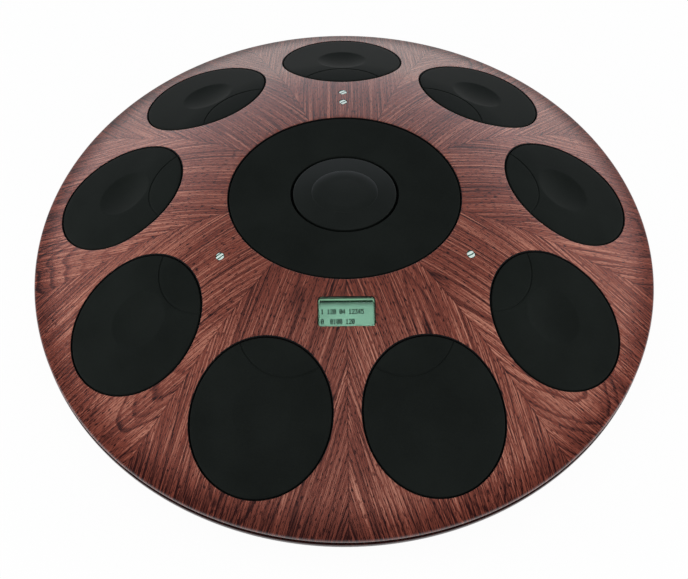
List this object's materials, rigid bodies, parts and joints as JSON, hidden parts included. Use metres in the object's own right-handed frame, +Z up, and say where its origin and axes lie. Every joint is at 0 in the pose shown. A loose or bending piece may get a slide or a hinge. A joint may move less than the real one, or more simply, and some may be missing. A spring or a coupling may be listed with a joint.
{
  "type": "digital handpan",
  "caption": "Lens-shaped electronic hand drum with a walnut body, a ring of round silicone tone pads, an oval centre pad, a small display and sockets under its rear edge.",
  "frame": {"origin": "on the floor under the centre of the body, at the bottom of the feet", "axes": "+Z up, -Y towards the player and the display, +Y towards the sockets, +X to the player's right"},
  "size_m": [0.5202, 0.521, 0.1351],
  "materials": {
    "walnut": "satin oiled walnut",
    "silicone": "moulded matt silicone",
    "foam": "foam-backed force sensor film",
    "black_rubber": "matt moulded rubber",
    "shell_inlay": "polished shell",
    "display_glass": "clear polished cover",
    "display_green": "green display face",
    "circuit_board": "solder mask",
    "battery_wrap": "shrink wrap",
    "flat_cable": "flat cable jacket",
    "black_plastic": "moulded satin",
    "anodised_panel": "black anodised, brushed",
    "nickel": "nickel plate",
    "screw_steel": "zinc plated steel"
  },
  "bodies": {
    "body": {"top_shell": "walnut", "bottom_shell": "walnut", "tone_sensor_1": "foam", "tone_sensor_2": "foam", "tone_sensor_3": "foam", "tone_sensor_4": "foam", "tone_sensor_5": "foam", "tone_sensor_6": "foam", "tone_sensor_7": "foam", "tone_sensor_8": "foam", "tone_sensor_9": "foam", "ding_shoulder_sensor": "foam", "ding_center_sensor": "foam", "rim_gasket": "black_rubber", "foot_1": "black_rubber", "foot_2": "black_rubber", "foot_3": "black_rubber", "foot_4": "black_rubber", "inlay_dot_1": "shell_inlay", "inlay_dot_2": "shell_inlay", "inlay_dot_3": "shell_inlay", "inlay_dot_4": "shell_inlay", "lcd_window": "display_glass", "lcd_module": "display_green", "main_board": "circuit_board", "battery_pack": "battery_wrap", "lcd_ribbon": "flat_cable", "io_ribbon": "flat_cable", "battery_tray": "black_plastic", "power_switch": "black_plastic", "port_panel": "anodised_panel", "headphone_jack": "nickel", "line_out_jack": "nickel", "usb_socket": "nickel", "preset_encoder": "nickel", "volume_pot": "nickel", "shell_screw_1": "screw_steel", "shell_screw_2": "screw_steel", "shell_screw_3": "screw_steel", "shell_screw_4": "screw_steel", "shell_screw_5": "screw_steel", "shell_screw_6": "screw_steel", "shell_screw_7": "screw_steel", "shell_screw_8": "screw_steel", "shell_screw_9": "screw_steel"},
    "tone_pad_1": {"tone_pad_1": "silicone"},
    "tone_pad_2": {"tone_pad_2": "silicone"},
    "tone_pad_3": {"tone_pad_3": "silicone"},
    "tone_pad_4": {"tone_pad_4": "silicone"},
    "tone_pad_5": {"tone_pad_5": "silicone"},
    "tone_pad_6": {"tone_pad_6": "silicone"},
    "tone_pad_7": {"tone_pad_7": "silicone"},
    "tone_pad_8": {"tone_pad_8": "silicone"},
    "tone_pad_9": {"tone_pad_9": "silicone"},
    "ding_shoulder": {"ding_shoulder": "silicone"},
    "ding_center": {"ding_center": "silicone"},
    "power_button": {"power_button": "nickel"},
    "preset_knob": {"preset_knob": "black_plastic"},
    "volume_knob": {"volume_knob": "black_plastic"}
  },
  "joints": [
    {"name": "tone_pad_1_press", "type": "slide", "parent": "body", "child": "tone_pad_1", "axis": [0, 0, -1], "range_m": [0, 0.0008], "stiffness_N_per_m": 25000, "deforming": ["tone_sensor_1"]},
    {"name": "tone_pad_2_press", "type": "slide", "parent": "body", "child": "tone_pad_2", "axis": [0, 0, -1], "range_m": [0, 0.0008], "stiffness_N_per_m": 25000, "deforming": ["tone_sensor_2"]},
    {"name": "tone_pad_3_press", "type": "slide", "parent": "body", "child": "tone_pad_3", "axis": [0, 0, -1], "range_m": [0, 0.0008], "stiffness_N_per_m": 25000, "deforming": ["tone_sensor_3"]},
    {"name": "tone_pad_4_press", "type": "slide", "parent": "body", "child": "tone_pad_4", "axis": [0, 0, -1], "range_m": [0, 0.0008], "stiffness_N_per_m": 25000, "deforming": ["tone_sensor_4"]},
    {"name": "tone_pad_5_press", "type": "slide", "parent": "body", "child": "tone_pad_5", "axis": [0, 0, -1], "range_m": [0, 0.0008], "stiffness_N_per_m": 25000, "deforming": ["tone_sensor_5"]},
    {"name": "tone_pad_6_press", "type": "slide", "parent": "body", "child": "tone_pad_6", "axis": [0, 0, -1], "range_m": [0, 0.0008], "stiffness_N_per_m": 25000, "deforming": ["tone_sensor_6"]},
    {"name": "tone_pad_7_press", "type": "slide", "parent": "body", "child": "tone_pad_7", "axis": [0, 0, -1], "range_m": [0, 0.0008], "stiffness_N_per_m": 25000, "deforming": ["tone_sensor_7"]},
    {"name": "tone_pad_8_press", "type": "slide", "parent": "body", "child": "tone_pad_8", "axis": [0, 0, -1], "range_m": [0, 0.0008], "stiffness_N_per_m": 25000, "deforming": ["tone_sensor_8"]},
    {"name": "tone_pad_9_press", "type": "slide", "parent": "body", "child": "tone_pad_9", "axis": [0, 0, -1], "range_m": [0, 0.0008], "stiffness_N_per_m": 25000, "deforming": ["tone_sensor_9"]},
    {"name": "ding_shoulder_press", "type": "slide", "parent": "body", "child": "ding_shoulder", "axis": [0, 0, -1], "range_m": [0, 0.0008], "stiffness_N_per_m": 25000, "deforming": ["ding_shoulder_sensor"]},
    {"name": "ding_center_press", "type": "slide", "parent": "body", "child": "ding_center", "axis": [0, 0, -1], "range_m": [0, 0.0008], "stiffness_N_per_m": 25000, "deforming": ["ding_center_sensor"]},
    {"name": "power_button_press", "type": "slide", "parent": "body", "child": "power_button", "axis": [0, -1, 0], "range_m": [0, 0.0015], "stiffness_N_per_m": 2000},
    {"name": "preset_knob_turn", "type": "hinge", "parent": "body", "child": "preset_knob", "pos_m": [0.0255, 0.2143, 0.028], "axis": [0, 1, 0], "continuous": true},
    {"name": "volume_knob_turn", "type": "hinge", "parent": "body", "child": "volume_knob", "pos_m": [0.0425, 0.2143, 0.028], "axis": [0, 1, 0], "range_deg": [-150, 150]}
  ]
}
